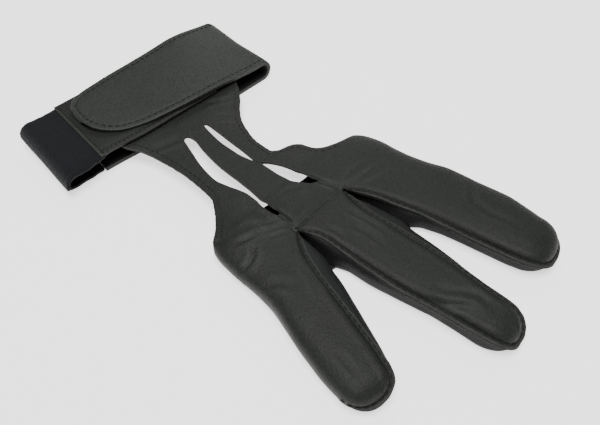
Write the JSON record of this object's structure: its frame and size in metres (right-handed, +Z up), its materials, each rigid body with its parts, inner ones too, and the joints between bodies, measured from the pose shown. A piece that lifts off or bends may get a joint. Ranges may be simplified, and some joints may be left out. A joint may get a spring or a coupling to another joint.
{
  "type": "three-finger leather glove",
  "caption": "Open-palm black leather sports glove with covered fingers, a slotted back and a closed wrist strap.",
  "frame": {"origin": "middle of the glove's footprint, on the surface it lies on", "axes": "+Y from the fingertips to the wrist, +X across the back towards the broad outer finger, +Z up from the palm side to the back"},
  "size_m": [0.1064, 0.1938, 0.0113],
  "materials": {
    "black_back_leather": "matte fine grain",
    "black_palm_leather": "matte soft grain",
    "black_finger_leather": "satin fine grain",
    "black_side_leather": "matte fine grain",
    "black_strap_leather": "smooth satin",
    "black_ribbed_elastic": "matte ribbed weave"
  },
  "bodies": {
    "root": {"back_panel": "black_back_leather", "palm_panel": "black_palm_leather", "middle_finger_top": "black_finger_leather", "side_strip_short": "black_side_leather", "side_strip_broad": "black_side_leather", "leather_strap": "black_strap_leather", "elastic_band": "black_ribbed_elastic"}
  },
  "joints": []
}
